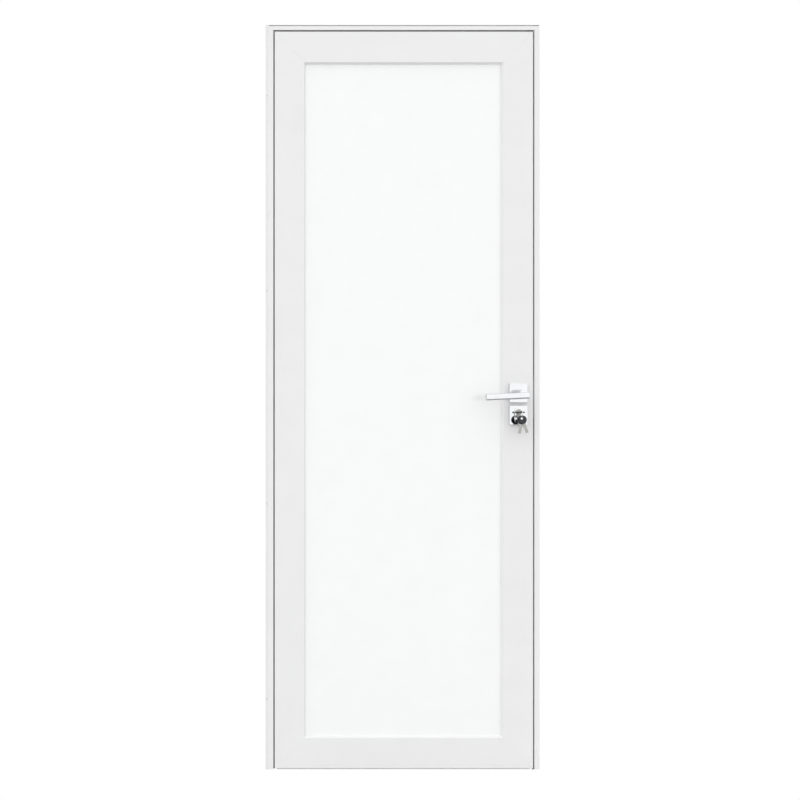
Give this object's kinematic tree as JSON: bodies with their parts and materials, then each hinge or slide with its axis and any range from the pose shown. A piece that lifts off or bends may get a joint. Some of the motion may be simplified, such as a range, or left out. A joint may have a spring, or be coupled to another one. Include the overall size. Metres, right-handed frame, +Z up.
{
  "type": "glass door",
  "caption": "Hinged glass door: mitred white aluminium frame and leaf round one full-height satin pane, with square-rose lever handles, latch, and a lock cylinder with its key ring.",
  "frame": {"origin": "on the floor, under the middle of the frame's width and the middle of the overall depth", "axes": "+X to the lock side as seen from the front, +Y to the side the leaf opens to, +Z up"},
  "size_m": [0.8, 0.152, 2.1],
  "materials": {
    "white_paint": "smooth white powder coat, semi-matt",
    "cleat_aluminium": "raw extruded",
    "seal_rubber": "matt black",
    "gasket_rubber": "matt pale grey",
    "satin_glass": "satin, milky white",
    "block_plastic": "moulded",
    "polished_chrome": "mirror polished",
    "brushed_steel": "fine lengthwise brushing",
    "screw_steel": "zinc plated",
    "nickel_brass": "nickel plated, satin",
    "ring_steel": "nickel plated wire",
    "black_plastic": "smooth black"
  },
  "bodies": {
    "frame": {"jamb_hinge_side": "white_paint", "jamb_lock_side": "white_paint", "head": "white_paint", "frame_cleats": "cleat_aluminium", "stop_seal_hinge_side": "seal_rubber", "stop_seal_lock_side": "seal_rubber", "stop_seal_top": "seal_rubber", "strike_plate": "brushed_steel", "strike_screws": "screw_steel", "hinge_top_foot": "white_paint", "hinge_middle_foot": "white_paint", "hinge_bottom_foot": "white_paint", "hinge_top_pin": "brushed_steel", "hinge_middle_pin": "brushed_steel", "hinge_bottom_pin": "brushed_steel", "hinge_foot_screws": "screw_steel"},
    "leaf": {"stile_hinge_side": "white_paint", "stile_lock_side": "white_paint", "rail_top": "white_paint", "rail_bottom": "white_paint", "leaf_cleats": "cleat_aluminium", "sweep": "seal_rubber", "glass_pane": "satin_glass", "gasket_front": "gasket_rubber", "gasket_back": "gasket_rubber", "bead_hinge_side": "white_paint", "bead_lock_side": "white_paint", "bead_top": "white_paint", "bead_bottom": "white_paint", "setting_blocks": "block_plastic", "hinge_top_wing": "white_paint", "hinge_middle_wing": "white_paint", "hinge_bottom_wing": "white_paint", "hinge_wing_screws": "screw_steel", "lock_case": "brushed_steel", "lock_faceplate": "brushed_steel", "faceplate_screws": "screw_steel", "cylinder_body": "nickel_brass", "cylinder_rear_plug": "nickel_brass", "cylinder_screw": "screw_steel", "lever_rose_front": "polished_chrome", "lever_rose_back": "polished_chrome", "key_rose_front": "polished_chrome", "key_rose_back": "polished_chrome", "lever_rose_bases": "block_plastic", "key_rose_bases": "block_plastic", "rose_bolts": "screw_steel"},
    "lever": {"lever_front": "polished_chrome", "lever_back": "polished_chrome", "spindle": "brushed_steel", "lock_hub": "brushed_steel"},
    "latch": {"latch_bolt": "brushed_steel"},
    "bolt": {"dead_bolt": "brushed_steel"},
    "key": {"cylinder_plug": "nickel_brass", "cylinder_cam": "brushed_steel", "key_blade": "nickel_brass", "key_head": "black_plastic", "key_ring": "ring_steel", "spare_key_blades": "nickel_brass", "spare_key_heads": "black_plastic"}
  },
  "joints": [
    {"name": "door_swing", "type": "hinge", "parent": "frame", "child": "leaf", "pos_m": [-0.39, 0.0223, 0], "axis": [0, 0, 1], "range_deg": [0, 110]},
    {"name": "lever_turn", "type": "hinge", "parent": "leaf", "child": "lever", "pos_m": [0.3355, 0, 1.062], "axis": [0, -1, 0], "range_deg": [0, 40], "stiffness_Nm_per_rad": 2, "springref_deg": -22.92},
    {"name": "latch_slide", "type": "slide", "parent": "leaf", "child": "latch", "axis": [-1, 0, 0], "range_m": [0, 0.012]},
    {"name": "key_turn", "type": "hinge", "parent": "leaf", "child": "key", "pos_m": [0.3355, 0, 1.007], "axis": [0, 1, 0], "range_deg": [0, 90]},
    {"name": "bolt_slide", "type": "slide", "parent": "leaf", "child": "bolt", "axis": [1, 0, 0], "range_m": [0, 0.014]}
  ],
  "couplings": [
    {"joint": "latch_slide", "follows": "lever_turn", "m_per_rad": 0.017189},
    {"joint": "bolt_slide", "follows": "key_turn", "m_per_rad": 0.0089127}
  ]
}
